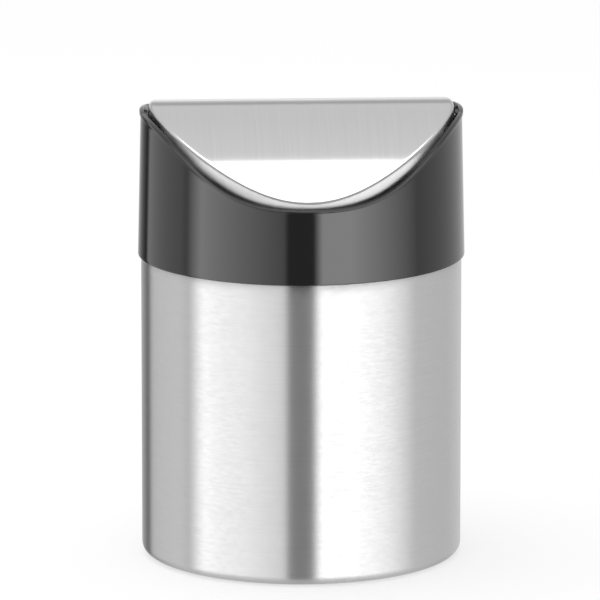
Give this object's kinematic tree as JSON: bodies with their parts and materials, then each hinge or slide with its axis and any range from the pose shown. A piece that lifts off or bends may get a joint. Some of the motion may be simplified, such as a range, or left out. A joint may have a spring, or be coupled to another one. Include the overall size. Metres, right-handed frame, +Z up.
{
  "type": "countertop swing-lid waste bin",
  "caption": "Small round countertop waste bin: brushed steel can, gloss black collar with a saddle rim, and a vaulted steel lid that swings on a level axle.",
  "frame": {"origin": "centre of the bin's footprint, on the surface it stands on", "axes": "+Z up, +X along the lid's axle, -Y towards the front"},
  "size_m": [0.1198, 0.1199, 0.1683],
  "materials": {
    "brushed_can_steel": "brushed round the can, satin",
    "satin_lid_steel": "fine satin, close to polished",
    "axle_steel": "drawn bright",
    "gloss_black_plastic": "high gloss",
    "matte_black_plastic": "matte moulded",
    "bearing_acetal": "smooth, low sheen",
    "pad_rubber": "soft matte"
  },
  "bodies": {
    "can": {"can_body": "brushed_can_steel", "base_pad": "pad_rubber"},
    "collar": {"collar_shell": "gloss_black_plastic", "collar_sleeve": "matte_black_plastic", "bearing_left": "bearing_acetal", "bearing_right": "bearing_acetal"},
    "lid": {"lid_skin": "satin_lid_steel", "lid_carrier": "matte_black_plastic", "lid_axle": "axle_steel"}
  },
  "joints": [
    {"name": "collar_lift", "type": "slide", "parent": "can", "child": "collar", "axis": [0, 0, 1], "range_m": [0, 0.04]},
    {"name": "lid_swing", "type": "hinge", "parent": "collar", "child": "lid", "pos_m": [0, 0, 0.1622], "axis": [1, 0, 0], "range_deg": [-85, 85]}
  ]
}
